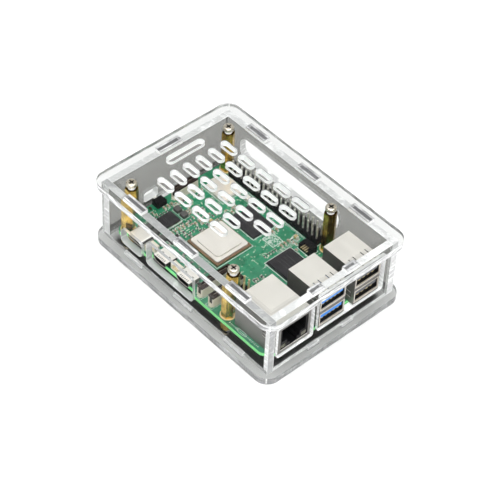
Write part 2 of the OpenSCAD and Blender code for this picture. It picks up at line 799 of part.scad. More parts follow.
top_plate();
bottom_plate();
port_side_panel();
header_side_panel();
card_side_panel();
socket_side_panel();
top_screws();
bottom_screws();
upper_spacers();
lower_spacers();
circuit_board();
processor_substrate();
processor_lid();
memory_chip();
io_chip();
power_chip();
wireless_shield();
pin_header_base();
pin_header_pins();
poe_header_base();
poe_header_pins();
ethernet_shell();
ethernet_housing();
ethernet_contacts();
ethernet_lights();
usb3_shell();
usb3_tongues();
usb3_contacts();
usb2_shell();
usb2_tongues();
usb2_contacts();
usb_c_shell();
usb_c_tongue();
micro_hdmi_shells();
micro_hdmi_tongues();
serial_socket();
battery_socket();
fan_socket();
socket_pins();
camera_sockets();
camera_latch_1();
camera_latch_2();
expansion_socket();
expansion_latch();
power_button_body();
power_button_plunger();
status_light();
card_slot_shell();
card_slot_base();
inductors();
ceramic_capacitors();
chip_resistors();
crystals();
small_chips();
bulk_capacitors();
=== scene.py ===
"""Looks for a cased single board computer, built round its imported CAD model."""

import json
import math
import random

import bmesh
import bpy
from mathutils import Matrix, Vector


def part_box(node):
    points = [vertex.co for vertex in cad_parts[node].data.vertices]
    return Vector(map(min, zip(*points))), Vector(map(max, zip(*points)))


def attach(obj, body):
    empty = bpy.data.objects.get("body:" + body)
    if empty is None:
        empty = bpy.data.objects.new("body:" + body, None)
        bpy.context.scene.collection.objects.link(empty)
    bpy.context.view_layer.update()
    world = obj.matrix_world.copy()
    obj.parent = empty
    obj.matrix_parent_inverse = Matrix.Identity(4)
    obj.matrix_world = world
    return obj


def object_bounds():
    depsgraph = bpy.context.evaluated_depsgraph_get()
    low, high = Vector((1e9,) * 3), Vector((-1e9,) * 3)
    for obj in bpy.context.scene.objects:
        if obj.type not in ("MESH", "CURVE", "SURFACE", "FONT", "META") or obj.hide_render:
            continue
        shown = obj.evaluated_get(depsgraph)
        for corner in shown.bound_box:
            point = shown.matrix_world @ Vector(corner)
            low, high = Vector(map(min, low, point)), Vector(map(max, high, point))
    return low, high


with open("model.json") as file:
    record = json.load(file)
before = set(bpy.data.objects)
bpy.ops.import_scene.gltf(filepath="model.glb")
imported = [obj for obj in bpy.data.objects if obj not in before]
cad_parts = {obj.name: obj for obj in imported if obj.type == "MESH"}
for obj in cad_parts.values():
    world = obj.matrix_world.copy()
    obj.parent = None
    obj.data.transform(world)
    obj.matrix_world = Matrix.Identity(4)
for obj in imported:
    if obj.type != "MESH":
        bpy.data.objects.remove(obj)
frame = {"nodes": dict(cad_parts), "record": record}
CAD_LOW, CAD_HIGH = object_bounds()
NODES = frame["nodes"]
MM = 0.001
BODY = "computer"

BOARD_LOW, BOARD_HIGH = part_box("circuit_board")
BOARD_TOP = BOARD_HIGH.z
BOARD_L, BOARD_W, BOARD_T = ((high - low) / MM for low, high in zip(BOARD_LOW, BOARD_HIGH))

# The board's mounting holes, in millimetres from its corner
HOLE_INSET = 3.5
HOLE_PITCH = (58, 49)
HOLES = [(HOLE_INSET + x, HOLE_INSET + y) for x in (0, HOLE_PITCH[0]) for y in (0, HOLE_PITCH[1])]


def on_board(x, y, z=0.0):
    """A point given in millimetres from the board's corner, with z above its top face."""
    return Vector((BOARD_LOW.x + x * MM, BOARD_LOW.y + y * MM, BOARD_TOP + z * MM))


# ---------------------------------------------------------------- materials

BLACK = (0.0, 0.0, 0.0)
WHITE = (1.0, 1.0, 1.0)
GLOW = 0.3  # How strongly cut faces, arrises and the board's edge glow with painted light

# How much light the sheets pass on to what is behind them
SIDE_SHADE = (0.9, 0.9, 0.9)
TOP_SHADE = (0.85, 0.85, 0.85)
BASE_SHADE = (0.04, 0.04, 0.042)
# The tints of clear sheets, the top plate's rim, the bottom plate and the two rear panels. The bottom plate's
# and rear panels' tints are darkened as painted shade: under the board, and over what is seen through the
# back of the case
CLEAR_TINT = (0.95, 0.955, 0.95)
RIM_TINT = (0.86, 0.865, 0.86)
BASE_SHADE_TINT = (0.75, 0.755, 0.75)
REAR_SHADE_TINT = (0.52, 0.52, 0.51)
RIM = 7 * MM  # How far the case's rim reaches in from its sides
GLARE = 0.15  # The share of a clear sheet's mirror reflection that is kept
ACRYLIC_IOR = 1.49
# Cut faces go from this frosted white to a grey painted shade as they are less frosted; arrises round the
# case's outside get a grey painted shade
CUT_WHITE = (0.97, 0.98, 0.98)
CUT_SHADE_GREY = (0.22, 0.225, 0.23)
ARRIS_SHADE_GREY = (0.30, 0.305, 0.31)
ARRIS_REACH = 0.25 * MM


class Graph:
    """A node tree being built: makes nodes, sets their inputs and links them."""

    def __init__(self, name):
        self.material = bpy.data.materials.new(name)
        self.material.use_nodes = True
        self.tree = self.material.node_tree
        self.tree.nodes.clear()
        self.out = self.tree.nodes.new("ShaderNodeOutputMaterial")
        self.place = self.add("ShaderNodeTexCoord").outputs["Object"]

    def add(self, kind, inputs=None, **settings):
        node = self.tree.nodes.new(kind)
        for key, value in settings.items():
            setattr(node, key, value)
        for key, value in (inputs or {}).items():
            if isinstance(value, bpy.types.NodeSocket):
                self.tree.links.new(value, node.inputs[key])
            else:
                node.inputs[key].default_value = value
        return node

    def noise(self, scale, detail=3.0, rough=0.55, stretch=(1, 1, 1), distortion=0.0):
        spot = self.add("ShaderNodeMapping", {"Vector": self.place, "Scale": stretch}).outputs[0]
        return self.add("ShaderNodeTexNoise", {"Vector": spot, "Scale": scale, "Detail": detail,
                                               "Roughness": rough, "Distortion": distortion}).outputs["Fac"]

    def spread(self, value, low, high, start=0.3, end=0.7):
        return self.add("ShaderNodeMapRange", {"Value": value, "From Min": start, "From Max": end,
                                               "To Min": low, "To Max": high}).outputs["Result"]

    def blend(self, factor, first, second):
        node = self.add("ShaderNodeMix", {"Factor": factor}, data_type="RGBA")
        for socket, value in ((node.inputs[6], first), (node.inputs[7], second)):
            if isinstance(value, bpy.types.NodeSocket):
                self.tree.links.new(value, socket)
            else:
                socket.default_value = (*value, 1)
        return node.outputs[2]

    def mix(self, factor, first, second):
        """One shader where the factor is 0, and another where it is 1."""
        return self.add("ShaderNodeMixShader", {0: factor, 1: first.outputs[0], 2: second.outputs[0]})

    def math(self, operation, first, second=0.0):
        return self.add("ShaderNodeMath", {0: first, 1: second}, operation=operation).outputs[0]

    def facing(self, axis):
        """How squarely a face looks along an axis, either way: 0 to 1."""
        normal = self.add("ShaderNodeNewGeometry").outputs["True Normal"]
        return self.math("ABSOLUTE", self.add("ShaderNodeSeparateXYZ", {0: normal}).outputs[axis])

    def bump(self, height, strength, distance):
        return self.add("ShaderNodeBump", {"Height": height, "Strength": strength,
                                           "Distance": distance}).outputs["Normal"]

    def principled(self, **inputs):
        named = {key.replace("_", " "): value for key, value in inputs.items()}
        return self.add("ShaderNodeBsdfPrincipled", named)

    def finish(self, shader):
        self.tree.links.new(shader.outputs[0], self.out.inputs["Surface"])
        return self.material


def metal(name, light, dark, rough, stretch=(1, 1, 1), scale=400, upright_shade=1.0, metallic=1.0, shaded_hollow=None):
    """Plated or machined metal with faint streaks and smudges.

    One argument sets how bright upright faces are, as painted shade, and another gives the box of a shell
    whose inside gets painted shade."""
    g = Graph(name)
    smudge = g.noise(scale * 0.35, 4)
    streak = g.noise(scale, 3, 0.6, stretch)
    colour = g.blend(g.spread(smudge, 0, 1), dark, light)
    # Painted shade on upright faces
    if upright_shade < 1:
        shaded_tone = tuple(channel * upright_shade for channel in dark)
        colour = g.blend(g.spread(g.facing(2), 0, 1, 0.2, 0.7), shaded_tone, colour)
    # Painted shade inside a shell
    if shaded_hollow:
        colour = g.blend(inside(g, *shaded_hollow), colour, (0.02, 0.02, 0.02))
    return g.finish(g.principled(Base_Color=colour, Metallic=metallic,
                                 Roughness=g.spread(streak, *rough),
                                 Normal=g.bump(streak, 0.05, 0.0001)))


def inside(g, low, high):
    """Where a shell's inside gets painted shade: 1 within its box, a sheet's thickness in from every face but
    the lowest.
    """
    skin = 0.2 * MM
    split = g.add("ShaderNodeSeparateXYZ", {0: g.place})
    found = g.math("LESS_THAN", split.outputs[2], high.z - skin)
    for axis in (0, 1):
        half = (high[axis] - low[axis]) / 2 - skin
        off = g.math("ABSOLUTE", g.math("SUBTRACT", split.outputs[axis], (low[axis] + high[axis]) / 2))
        found = g.math("MULTIPLY", found, g.math("LESS_THAN", off, half))
    return found


def plastic(name, light, dark, rough, specular=0.3):
    """Moulded plastic or ceramic with a fine grain and slight tone changes."""
    g = Graph(name)
    tone = g.noise(180, 3)
    fine = g.noise(2500, 2, 0.7)
    colour = g.blend(g.spread(tone, 0, 1), dark, light)
    return g.finish(g.principled(Base_Color=colour, Roughness=g.spread(fine, *rough),
                                 Specular_IOR_Level=specular,
                                 Normal=g.bump(fine, 0.12, 0.00005)))


def acrylic(node, normal_axis, tint, rim_tint, shade, frost_cut, frost_outer):
    """Clear cast sheet. Its cut faces carry painted light: their arrises get a white painted highlight with a
    glow, and a grey painted shade round the case's outside.
    """
    g = Graph(node + "_acrylic")
    low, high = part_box(node)
    middle = (low[normal_axis] + high[normal_axis]) / 2
    outer, level = frosting(g, normal_axis, middle, frost_cut, frost_outer)
    lines = g.noise(900, 3, 0.6, (1, 1, 0.05) if normal_axis == 2 else (1, 1, 1))
    across = g.math("LESS_THAN", g.facing(normal_axis), 0.5)
    body = g.mix(across, clear_face(g, by_rim(g, rim_tint, tint)), cut_face(g, outer, level, lines))
    # Painted highlight on arrises, white and glowing, with grey painted shade on those round the case's
    # outside
    edge = g.principled(Base_Color=g.blend(outer, CUT_WHITE, ARRIS_SHADE_GREY), Roughness=0.25,
                        Emission_Color=g.blend(outer, WHITE, BLACK), Emission_Strength=GLOW)
    body = g.mix(arris_highlight_mask(g), body, edge)
    path = g.add("ShaderNodeLightPath")
    ray = g.math("MAXIMUM", path.outputs["Is Shadow Ray"], path.outputs["Is Diffuse Ray"])
    open_light = g.add("ShaderNodeBsdfTransparent", {"Color": by_rim(g, SIDE_SHADE, shade)})
    return g.finish(g.mix(ray, body, open_light))


def clear_face(g, colour):
    """A sheet's polished face: it bends what is behind it and keeps a little of its reflection."""
    wave = g.bump(g.noise(35, 2), 0.02, 0.0004)
    shiny = g.principled(Base_Color=colour, Roughness=0.0, IOR=ACRYLIC_IOR, Transmission_Weight=1.0,
                         Normal=wave)
    shaded_tone = g.add("ShaderNodeBsdfRefraction", {"Color": colour, "Roughness": 0.0, "IOR": ACRYLIC_IOR,
                                              "Normal": wave})
    return g.mix(1 - GLARE, shiny, shaded_tone)


def cut_face(g, outer, level, lines):
    """A laser-cut face, from half clear to frosted as level rises. Frosted faces glow with painted light,
    less round the case's outside, and little-frosted ones turn a grey painted shade. Outer faces have streaks
    in this painted light and shade.
    """
    streak = g.spread(g.noise(150, 3, 0.6, (1, 1, 6), 0.4), 0.25, 1.7)
    even = g.spread(outer, 1.0, 0.0, 0.0, 1.0)
    level = g.math("MULTIPLY", level, g.math("MAXIMUM", streak, even))
    # Painted glow, weaker round the case's outside
    painted_glow = g.math("MULTIPLY", level, g.spread(outer, 1.0, 0.35, 0.0, 1.0))
    frost = g.principled(Base_Color=g.blend(level, CUT_SHADE_GREY, CUT_WHITE), IOR=ACRYLIC_IOR,
                         Roughness=g.spread(lines, 0.15, 0.35), Normal=g.bump(lines, 0.2, 0.0001),
                         Emission_Color=g.blend(painted_glow, BLACK, WHITE), Emission_Strength=GLOW)
    glass = g.principled(Base_Color=(*CUT_WHITE, 1), Roughness=0.04, IOR=ACRYLIC_IOR,
                         Transmission_Weight=1.0, Normal=g.bump(lines, 0.05, 0.0001))
    return g.mix(g.spread(level, 0.5, 1.0, 0.0, 1.0), glass, frost)


def arris_highlight_mask(g):
    """Where the painted arris highlight goes: 0.9 on a sharp edge, and 0 away from one."""
    normal = g.add("ShaderNodeNewGeometry").outputs["True Normal"]
    rounded = g.add("ShaderNodeBevel", {"Radius": ARRIS_REACH}, samples=6).outputs[0]
    product = g.add("ShaderNodeVectorMath", {0: rounded, 1: normal}, operation="DOT_PRODUCT")
    return g.spread(product.outputs["Value"], 0.9, 0.0, 0.82, 0.98)


def frosting(g, sheet_axis, sheet_middle, frost_cut, frost_outer):
    """Where the case's outer edges are, and how white a cut face is: tab ends are clear in the middle."""
    side_band, end_band = 1.5 * MM, 2 * MM
    core, shell = 0.6 * MM, 0.9 * MM
    split = g.add("ShaderNodeSeparateXYZ", {0: g.place})
    past_x = g.math("GREATER_THAN", g.math("ABSOLUTE", split.outputs[0]), CAD_HIGH.x - side_band)
    past_y = g.math("GREATER_THAN", g.math("ABSOLUTE", split.outputs[1]), CAD_HIGH.y - side_band)
    middle = g.math("SUBTRACT", split.outputs[2], (CAD_LOW.z + CAD_HIGH.z) / 2)
    past_z = g.math("GREATER_THAN", g.math("ABSOLUTE", middle), CAD_HIGH.z / 2 - end_band)
    outer = g.math("MAXIMUM", past_z, g.math("MAXIMUM", past_x, past_y))
    level = g.spread(outer, frost_cut, frost_outer, 0.0, 1.0)
    off = g.math("ABSOLUTE", g.math("SUBTRACT", split.outputs[sheet_axis], sheet_middle))
    tab_end = g.math("MULTIPLY", past_z, g.spread(off, 1.0, 0.0, core, shell))
    return outer, g.math("MULTIPLY", level, g.spread(tab_end, 1.0, 0.05, 0.0, 1.0))


def by_rim(g, rim, middle):
    """One colour all round the case's rim, and another inside it."""
    split = g.add("ShaderNodeSeparateXYZ", {0: g.place})
    in_x = g.math("LESS_THAN", g.math("ABSOLUTE", split.outputs[0]), CAD_HIGH.x - RIM)
    in_y = g.math("LESS_THAN", g.math("ABSOLUTE", split.outputs[1]), CAD_HIGH.y - RIM)
    return g.blend(g.math("MULTIPLY", in_x, in_y), rim, middle)


def board_green():
    """Solder mask over copper, in patches and clouds, with pale woven laminate on the upright edges that glow
    with painted light.
    """
    g = Graph("board_green")
    pour = g.add("ShaderNodeTexVoronoi", {"Vector": g.place, "Scale": 260.0},
                 distance="MANHATTAN", feature="F1").outputs["Color"]
    pour_value = g.add("ShaderNodeSeparateColor", {0: pour}).outputs[0]
    mask = g.blend(g.spread(pour_value, 0, 1, 0.35, 0.45), (0.013, 0.165, 0.075), (0.023, 0.235, 0.115))
    cloud = g.noise(140, 4)
    mask = g.blend(g.spread(cloud, 0, 0.6), mask, (0.038, 0.28, 0.15))
    edge = g.math("LESS_THAN", g.facing(2), 0.5)
    weave = g.noise(1200, 2, 0.5, (1, 1, 5))
    laminate = g.blend(g.spread(weave, 0, 1), (0.12, 0.62, 0.18), (0.25, 0.80, 0.30))
    colour = g.blend(edge, mask, laminate)
    # Painted glow on the upright laminate edges
    glow = g.blend(edge, BLACK, (0.20, 0.80, 0.22))
    return g.finish(g.principled(Base_Color=colour, Roughness=g.spread(cloud, 0.22, 0.4),
                                 Coat_Weight=0.4, Coat_Roughness=0.1,
                                 Emission_Color=glow, Emission_Strength=GLOW,
                                 Normal=g.bump(pour_value, 0.15, 0.00004)))


def lamp(name, colour):
    """A clouded light pipe that isn't lit."""
    g = Graph(name)
    cloud = g.noise(900, 2)
    tone = g.blend(g.spread(cloud, 0, 1), tuple(c * 0.85 for c in colour), colour)
    return g.finish(g.principled(Base_Color=tone, Roughness=0.25, Transmission_Weight=0.4, IOR=1.5))


def socket_metal(name, shaded_hollow=None):
    """Tinned sheet with long faint streaks, with painted shade on its upright faces, and inside a shell when
    given its box.
    """
    return metal(name, (0.97, 0.94, 0.88), (0.91, 0.88, 0.82), (0.3, 0.42), (0.08, 1, 1), upright_shade=0.2,
                 metallic=0.35, shaded_hollow=shaded_hollow)


def screw_metal():
    """Bright screws with painted shade near the holes' axes: in the top recesses, and on the bottom screws'
    middles too.
    """
    recess_reach, recess_depth = 1.3 * MM, 0.12 * MM
    g = Graph("screw_steel")
    smudge = g.noise(500, 4)
    colour = g.blend(g.spread(smudge, 0, 1), (0.70, 0.62, 0.46), (0.92, 0.88, 0.78))
    split = g.add("ShaderNodeSeparateXYZ", {0: g.place})
    low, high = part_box("top_screws")
    head = (high.x - low.x - HOLE_PITCH[0] * MM) / 2
    offsets = []
    for axis in (0, 1):
        half = (high[axis] - low[axis]) / 2 - head
        off = g.math("ABSOLUTE", g.math("SUBTRACT", split.outputs[axis], (low[axis] + high[axis]) / 2))
        offsets.append(g.math("POWER", g.math("SUBTRACT", off, half), 2.0))
    # Painted shade in the recesses
    near = g.math("LESS_THAN", g.math("SQRT", g.math("ADD", *offsets)), recess_reach)
    deep = g.math("GREATER_THAN", g.math("SUBTRACT", high.z, split.outputs[2]), recess_depth)
    recess_shade = g.math("MULTIPLY", near, deep)
    colour = g.blend(recess_shade, colour, (0.03, 0.028, 0.025))
    return g.finish(g.principled(Base_Color=colour, Metallic=0.85, Roughness=g.spread(smudge, 0.2, 0.38),
                                 Normal=g.bump(smudge, 0.08, 0.0001)))


MATERIALS = {
    "board_green": board_green(),
    "screw_steel": screw_metal(),
    # The brass's dark tone is its own smudging deepened with painted shade, as one spacer stands in the
    # network socket's shadow
    "spacer_brass": metal("spacer_brass", (0.86, 0.60, 0.14), (0.30, 0.18, 0.03), (0.16, 0.3),
                          (1, 1, 0.06), 900),
    "socket_steel": socket_metal("socket_steel"),
    "lid_steel": metal("lid_steel", (0.97, 0.93, 0.87), (0.89, 0.85, 0.79), (0.28, 0.4), upright_shade=0.7,
                       metallic=0.4),
    "header_pins": metal("header_pins", (0.90, 0.88, 0.83), (0.70, 0.67, 0.60), (0.2, 0.35), metallic=0.5),
    # Pale, mostly diffuse gold: its own colour lifted into a painted highlight for the contacts' glints
    "gold_contacts": metal("gold_contacts", (1.0, 0.88, 0.55), (0.90, 0.70, 0.34), (0.15, 0.3),
                           metallic=0.25),
    "chip_black": plastic("chip_black", (0.035, 0.033, 0.036), (0.022, 0.021, 0.024), (0.35, 0.55)),
    "black_plastic": plastic("black_plastic", (0.009, 0.009, 0.010), (0.005, 0.005, 0.006), (0.4, 0.55),
                             specular=0.12),
    "blue_plastic": plastic("blue_plastic", (0.05, 0.34, 0.95), (0.03, 0.25, 0.85), (0.3, 0.45)),
    "cream_plastic": plastic("cream_plastic", (0.82, 0.78, 0.66), (0.74, 0.69, 0.56), (0.4, 0.6)),
    "latch_brown": plastic("latch_brown", (0.035, 0.020, 0.015), (0.022, 0.012, 0.009), (0.45, 0.6),
                           specular=0.2),
    "substrate_brown": plastic("substrate_brown", (0.30, 0.19, 0.12), (0.20, 0.12, 0.07), (0.5, 0.7)),
    "inductor_grey": plastic("inductor_grey", (0.13, 0.125, 0.12), (0.08, 0.08, 0.08), (0.5, 0.75)),
    "capacitor_tan": plastic("capacitor_tan", (0.44, 0.33, 0.22), (0.34, 0.24, 0.15), (0.35, 0.5)),
    "tantalum_yellow": plastic("tantalum_yellow", (0.62, 0.48, 0.22), (0.5, 0.38, 0.16), (0.4, 0.6)),
    "resistor_black": plastic("resistor_black", (0.03, 0.03, 0.033), (0.018, 0.018, 0.02), (0.25, 0.4)),
    "light_pipe": lamp("light_pipe", (0.10, 0.10, 0.04)),
}
SILK = plastic("silk_ink", (0.97, 0.98, 0.96), (0.88, 0.91, 0.87), (0.5, 0.7))
TRACE = plastic("trace_mask", (0.065, 0.38, 0.205), (0.04, 0.31, 0.155), (0.25, 0.4))
DARK_TONGUE = plastic("dark_tongue", (0.16, 0.165, 0.18), (0.11, 0.115, 0.13), (0.35, 0.5))
VIA = metal("via_tin", (0.75, 0.86, 0.72), (0.55, 0.68, 0.52), (0.3, 0.5), metallic=0.3)
FAINT = plastic("laser_marks", (0.16, 0.16, 0.16), (0.10, 0.10, 0.10), (0.5, 0.7))
LIP = metal("socket_lip", (0.80, 0.75, 0.68), (0.62, 0.57, 0.50), (0.25, 0.4), metallic=0.6)
# Each sheet: the axis across it, its tint and its tint by the rim, how much light it passes, and the
# frosting of its slots and of its outer edges
SHEETS = {
    "top_plate": (2, CLEAR_TINT, RIM_TINT, TOP_SHADE, 1.0, 0.7),
    "bottom_plate": (2, BASE_SHADE_TINT, BASE_SHADE_TINT, BASE_SHADE, 0.6, 0.25),
    "port_side_panel": (1, CLEAR_TINT, CLEAR_TINT, SIDE_SHADE, 0.35, 0.5),
    "header_side_panel": (1, REAR_SHADE_TINT, REAR_SHADE_TINT, SIDE_SHADE, 0.6, 0.45),
    "card_side_panel": (0, REAR_SHADE_TINT, REAR_SHADE_TINT, SIDE_SHADE, 0.6, 0.45),
    "socket_side_panel": (0, CLEAR_TINT, CLEAR_TINT, SIDE_SHADE, 0.75, 0.55),
}
# Folded shells whose insides get painted shade
SHADED_SHELLS = ("usb3_shell", "usb2_shell", "usb_c_shell", "micro_hdmi_shells")


def set_material(piece, material):
    piece.data.materials.clear()
    piece.data.materials.append(material)


for subpart in frame["record"]["subparts"]:
    node = subpart["node"]
    if node in SHEETS:
        set_material(NODES[node], acrylic(node, *SHEETS[node]))
    elif node in SHADED_SHELLS:
        set_material(NODES[node], socket_metal(node + "_steel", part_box(node)))
    elif node == "usb2_tongues":
        set_material(NODES[node], DARK_TONGUE)
    else:
        set_material(NODES[node], MATERIALS[subpart["material_slot"]])


# ---------------------------------------------------------------- pieces


def add_block(bm, low, high):
    """A box between two corners."""
    place = Matrix.Translation((low + high) / 2) @ Matrix.Diagonal((*(high - low), 1))
    bmesh.ops.create_cube(bm, size=1, matrix=place)


def add_bar(bm, x, y, length, width, height, z=0.0, turned=False):
    """A box centred at x, y on the board; turned swaps its length and width."""
    half = Vector((width, length, 0) if turned else (length, width, 0)) * MM / 2
    foot = on_board(x, y, z)
    add_block(bm, foot - half, foot + half + Vector((0, 0, height * MM)))


def add_disc(bm, centre, radius, height, top=None, sides=12):
    """A disc, or a cone up to the top radius, standing on its centre."""
    place = Matrix.Translation(centre + Vector((0, 0, height * MM / 2)))
    bmesh.ops.create_cone(bm, cap_ends=True, segments=sides, radius1=radius * MM,
                          radius2=(radius if top is None else top) * MM, depth=height * MM, matrix=place)


def add_ring(bm, centre, inner, outer, height):
    """A flat washer shape standing on its centre."""
    sides = 40
    loops = []
    for radius, rise in ((inner, 0), (outer, 0), (outer, height), (inner, height)):
        turns = [2 * math.pi * i / sides for i in range(sides)]
        loops.append([bm.verts.new(centre + Vector((math.cos(t) * radius, math.sin(t) * radius, rise)) * MM)
                      for t in turns])
    for k in range(4):
        first, second = loops[k], loops[(k + 1) % 4]
        for i in range(sides):
            j = (i + 1) % sides
            bm.faces.new((first[i], first[j], second[j], second[i]))


def add_line(bm, points, width, height, z=0.0):
    """A thin flat line through points on the board, with mitred bends."""
    spots = [Vector(p) for p in points]
    sides = []
    for i, spot in enumerate(spots):
        before = (spot - spots[i - 1]).normalized() if i else None
        after = (spots[i + 1] - spot).normalized() if i + 1 < len(spots) else None
        along = ((before or after) + (after or before)).normalized()
        across = Vector((-along.y, along.x))
        stretch = 1 / max(0.4, along.dot(after or before))
        sides.append((spot + across * width / 2 * stretch, spot - across * width / 2 * stretch))
    rings = [[bm.verts.new(on_board(p.x, p.y, z + rise)) for p, rise in
              ((left, 0), (right, 0), (right, height), (left, height))] for left, right in sides]
    for first, second in zip(rings, rings[1:]):
        for k in range(4):
            bm.faces.new((first[k], first[(k + 1) % 4], second[(k + 1) % 4], second[k]))
    bm.faces.new(rings[0][::-1])
    bm.faces.new(rings[-1])


def add_frame(bm, x0, y0, x1, y1, width, height, z=0.0):
    """Four lines round a rectangle on the board."""
    for a, b in (((x0, y0), (x1, y0)), ((x1, y0), (x1, y1)), ((x1, y1), (x0, y1)), ((x0, y1), (x0, y0))):
        add_line(bm, (a, b), width, height, z)


def soften(piece, width, segments=2):
    """Rounds a piece's sharp edges and leaves its mesh as it is."""
    weld = piece.modifiers.new("weld", "WELD")
    weld.merge_threshold = 0.000001
    bevel = piece.modifiers.new("bevel", "BEVEL")
    bevel.width = width * MM
    bevel.segments = segments
    bevel.limit_method = "ANGLE"
    bevel.angle_limit = math.radians(45)
    bevel.use_clamp_overlap = True


def make_piece(name, bm, slot, material=None, round_by=0.0):
    """Makes a mesh into a piece that rides on the computer."""
    bmesh.ops.recalc_face_normals(bm, faces=bm.faces)
    mesh = bpy.data.meshes.new(name)
    bm.to_mesh(mesh)
    bm.free()
    piece = bpy.data.objects.new(name, mesh)
    bpy.context.scene.collection.objects.link(piece)
    set_material(piece, material or MATERIALS[slot])
    if round_by:
        soften(piece, round_by, 1)
    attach(piece, BODY)
    return piece


def islands(node):
    """The boxes of a node's separate solids, as pairs of corners."""
    bm = bmesh.new()
    bm.from_mesh(NODES[node].data)
    bmesh.ops.remove_doubles(bm, verts=bm.verts, dist=0.000001)
    seen = set()
    boxes = []
    for start in bm.verts:
        if start.index in seen:
            continue
        seen.add(start.index)
        queue, group = [start], []
        while queue:
            vert = queue.pop()
            group.append(vert.co.copy())
            for edge in vert.link_edges:
                other = edge.other_vert(vert)
                if other.index not in seen:
                    seen.add(other.index)
                    queue.append(other)
        boxes.append(tuple(Vector(pick(c[i] for c in group) for i in range(3)) for pick in (min, max)))
    bm.free()
    return boxes


def board_box(low, high):
    """A box's sides in millimetres from the board's corner: x0, y0, x1, y1."""
    return tuple((a - b) / MM for a, b in ((low.x, BOARD_LOW.x), (low.y, BOARD_LOW.y),
                                           (high.x, BOARD_LOW.x), (high.y, BOARD_LOW.y)))


LINE_H = 0.02  # Printed ink, vias and the painted slot shade on the video sockets
FILM_H = 0.012  # Mask over a trace
PAD_H = 0.03
LINE_W = 0.2
THIN_W = 0.1
HOLE_CLEAR = 3.2

# What stands on the board, and the sides of each of its solids
STANDING = ("processor_substrate", "memory_chip", "io_chip", "power_chip", "wireless_shield",
            "pin_header_base", "poe_header_base", "ethernet_shell", "usb3_shell", "usb2_shell", "usb_c_shell",
            "micro_hdmi_shells", "serial_socket", "battery_socket", "fan_socket", "camera_sockets",
            "expansion_socket", "power_button_body", "status_light", "inductors", "ceramic_capacitors",
            "chip_resistors", "crystals", "small_chips", "bulk_capacitors")
FOOTPRINTS = [board_box(low, high) for node in STANDING for low, high in islands(node)]


def is_free(x, y, reach, taken):
    """Whether a spot on the board is clear of footprints, holes and edges by reach."""
    if not (reach < x < BOARD_L - reach and reach < y < BOARD_W - reach):
        return False
    if any(math.hypot(x - hx, y - hy) < HOLE_CLEAR + reach for hx, hy in HOLES):
        return False
    return not any(x0 - reach < x < x1 + reach and y0 - reach < y < y1 + reach for x0, y0, x1, y1 in taken)


def make_pads():
    """Gold rings round the mounting holes, on both faces."""
    inner, outer = 1.4, 3.1
    bm = bmesh.new()
    for x, y in HOLES:
        add_ring(bm, on_board(x, y), inner, outer, PAD_H)
        add_ring(bm, on_board(x, y, -BOARD_T - PAD_H), inner, outer, PAD_H)
    make_piece("hole_pads", bm, "gold_contacts")


def add_solder(bm, x, y, tip, foot, height, sides):
    """A solder cone under the board, widest where it meets it."""
    add_disc(bm, on_board(x, y, -BOARD_T - height), tip, height, top=foot, sides=sides)


def make_solder():
    """Solder cones under the headers' pins, and under the stacked sockets' pins and legs."""
    bm = bmesh.new()
    for node in ("pin_header_pins", "poe_header_pins"):
        for low, high in islands(node):
            x0, y0, x1, y1 = board_box(low, high)
            add_solder(bm, (x0 + x1) / 2, (y0 + y1) / 2, 0.4, 0.85, 0.75, 14)
    first_row, row_pitch = 2.2, 2.1
    leg_along, leg_in = 5, 0.3
    for node, rows, count, pitch in (("ethernet_shell", 2, 8, 1.6), ("usb3_shell", 4, 5, 2.2),
                                     ("usb2_shell", 2, 4, 2.5)):
        x0, y0, x1, y1 = board_box(*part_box(node))
        for i in range(rows):
            for j in range(count):
                y = (y0 + y1) / 2 + (j - (count - 1) / 2) * pitch
                add_solder(bm, x0 + first_row + row_pitch * i, y, 0.3, 0.65, 0.55, 12)
        for x in (x0 + leg_along, x1 - leg_along):
            for y in (y0 + leg_in, y1 - leg_in):
                add_solder(bm, x, y, 0.6, 1.1, 0.6, 16)
    make_piece("solder_joints", bm, "header_pins")


def make_end_caps():
    """Tinned ends and pads of the small two-ended parts."""
    bm = bmesh.new()
    for node in ("chip_resistors", "ceramic_capacitors", "bulk_capacitors"):
        for low, high in islands(node):
            add_caps(bm, *board_box(low, high), (high.z - low.z) / MM)
    make_piece("end_caps", bm, "header_pins", round_by=0.05)


def add_caps(bm, x0, y0, x1, y1, height, z=0.0):
    """A tinned cap over each end of a part, with its pad under it."""
    cap_share, grow = 0.24, 0.03
    pad_length, pad_reach, pad_margin = 0.45, 0.1, 0.16
    along_x = x1 - x0 > y1 - y0
    length, width = (x1 - x0, y1 - y0) if along_x else (y1 - y0, x1 - x0)
    middle_x, middle_y = (x0 + x1) / 2, (y0 + y1) / 2
    cap = length * cap_share
    for s in (-1, 1):
        for shift, long, wide, tall in ((length / 2 - cap / 2 + grow, cap, width + 2 * grow, height + grow),
                                        (length / 2 + pad_reach, pad_length, width + pad_margin, PAD_H)):
            x = middle_x + s * shift * along_x
            y = middle_y + s * shift * (not along_x)
            add_bar(bm, x, y, long, wide, tall, z, turned=not along_x)


# Crowded parts of the board: corners, and how many parts to try there
CROWDS = [(4, 6.5, 26, 30, 210), (19, 30, 26, 42, 26), (48.4, 34, 50.5, 46, 12),
          (56, 16, 68, 24, 24), (50, 41, 68, 49, 22), (5, 33, 10, 37, 8), (24, 6.5, 43, 11, 24)]
# Kinds of tiny parts: material slot, length, width and height. One kind stands twice, as it is commoner
SMALL_PARTS = (("capacitor_tan", 1.0, 0.55, 0.5), ("capacitor_tan", 1.0, 0.55, 0.5),
               ("resistor_black", 1.0, 0.5, 0.35), ("inductor_grey", 1.5, 0.8, 0.7))


